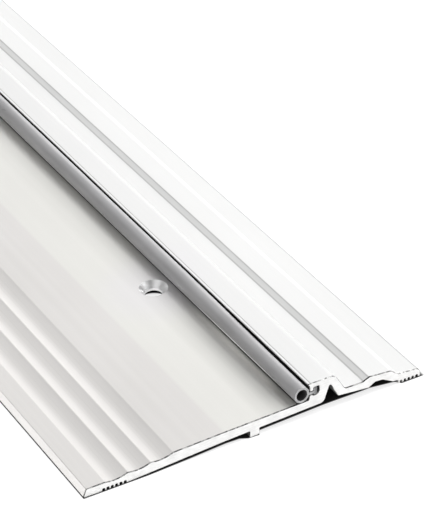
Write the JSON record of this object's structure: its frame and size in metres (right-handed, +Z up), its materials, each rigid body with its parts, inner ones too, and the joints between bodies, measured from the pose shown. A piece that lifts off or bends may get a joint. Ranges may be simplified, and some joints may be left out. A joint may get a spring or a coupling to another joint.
{
  "type": "door threshold",
  "caption": "Low saddle door threshold: an aluminium extrusion with a fluted tread, a raised door stop, countersunk screw holes and a slide-in grey bulb seal.",
  "frame": {"origin": "on the floor, under the middle of the threshold's length and width", "axes": "+X along the doorway, +Y from the fluted exterior toe to the interior nose, +Z up"},
  "size_m": [0.9144, 0.127, 0.0127],
  "materials": {
    "mill_aluminium": "satin mill finish with fine lengthwise die lines",
    "grey_vinyl": "smooth semi-matt flexible vinyl"
  },
  "bodies": {
    "threshold": {"threshold_extrusion": "mill_aluminium"},
    "seal": {"bulb_seal": "grey_vinyl"}
  },
  "joints": [
    {"name": "seal_slide", "type": "slide", "parent": "threshold", "child": "seal", "axis": [1, 0, 0], "range_m": [0, 0.92]}
  ]
}
